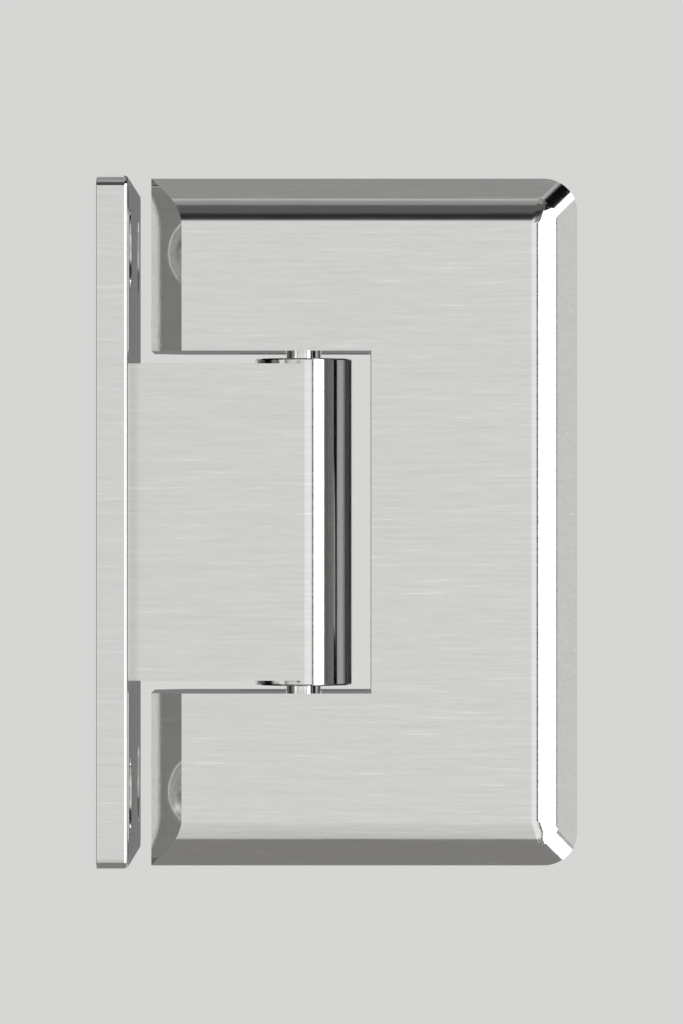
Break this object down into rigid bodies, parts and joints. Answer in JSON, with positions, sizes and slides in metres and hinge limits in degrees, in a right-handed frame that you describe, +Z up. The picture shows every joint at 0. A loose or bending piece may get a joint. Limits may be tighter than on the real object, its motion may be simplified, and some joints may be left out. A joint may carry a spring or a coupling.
{
  "type": "glass door hinge",
  "caption": "Wall-to-glass door hinge: flat wall plate, knuckle block with barrel, and a notched pair of bevelled clamp plates that swing about a vertical pin.",
  "frame": {"origin": "centre of the wall plate's back face, on the wall", "axes": "+X away from the wall along the closed door, +Y through the glass towards the inside, +Z up along the pin"},
  "size_m": [0.0617, 0.05, 0.089],
  "materials": {
    "satin_nickel": "satin, brushed along the closed door",
    "plain_steel": "turned and ground",
    "screw_steel": "plain stainless",
    "gasket": "matt, slightly translucent sheet",
    "nylon": "natural nylon"
  },
  "bodies": {
    "wall_side": {"wall_plate": "satin_nickel", "knuckle_body": "satin_nickel", "body_screw_upper": "screw_steel", "body_screw_lower": "screw_steel", "bush_upper": "nylon", "bush_lower": "nylon", "detent_spring_upper": "plain_steel", "detent_spring_lower": "plain_steel"},
    "follower": {"detent_follower": "plain_steel"},
    "door_clamp": {"front_plate": "satin_nickel", "rear_plate": "satin_nickel", "gasket_front": "gasket", "gasket_rear": "gasket", "pivot_pin": "plain_steel", "pin_cap_upper": "plain_steel", "pin_cap_lower": "plain_steel", "cap_screw_upper_near": "screw_steel", "cap_screw_upper_far": "screw_steel", "cap_screw_lower_near": "screw_steel", "cap_screw_lower_far": "screw_steel", "clamp_screw_upper_near": "screw_steel", "clamp_screw_upper_far": "screw_steel", "clamp_screw_lower_near": "screw_steel", "clamp_screw_lower_far": "screw_steel"}
  },
  "joints": [
    {"name": "door_swing", "type": "hinge", "parent": "wall_side", "child": "door_clamp", "pos_m": [0.0262, 0, 0], "axis": [0, 0, 1], "range_deg": [-90, 90]},
    {"name": "follower_slide", "type": "slide", "parent": "wall_side", "child": "follower", "axis": [1, 0, 0], "range_m": [0, 0.0004], "stiffness_N_per_m": 200, "deforming": ["detent_spring_upper", "detent_spring_lower"]}
  ]
}
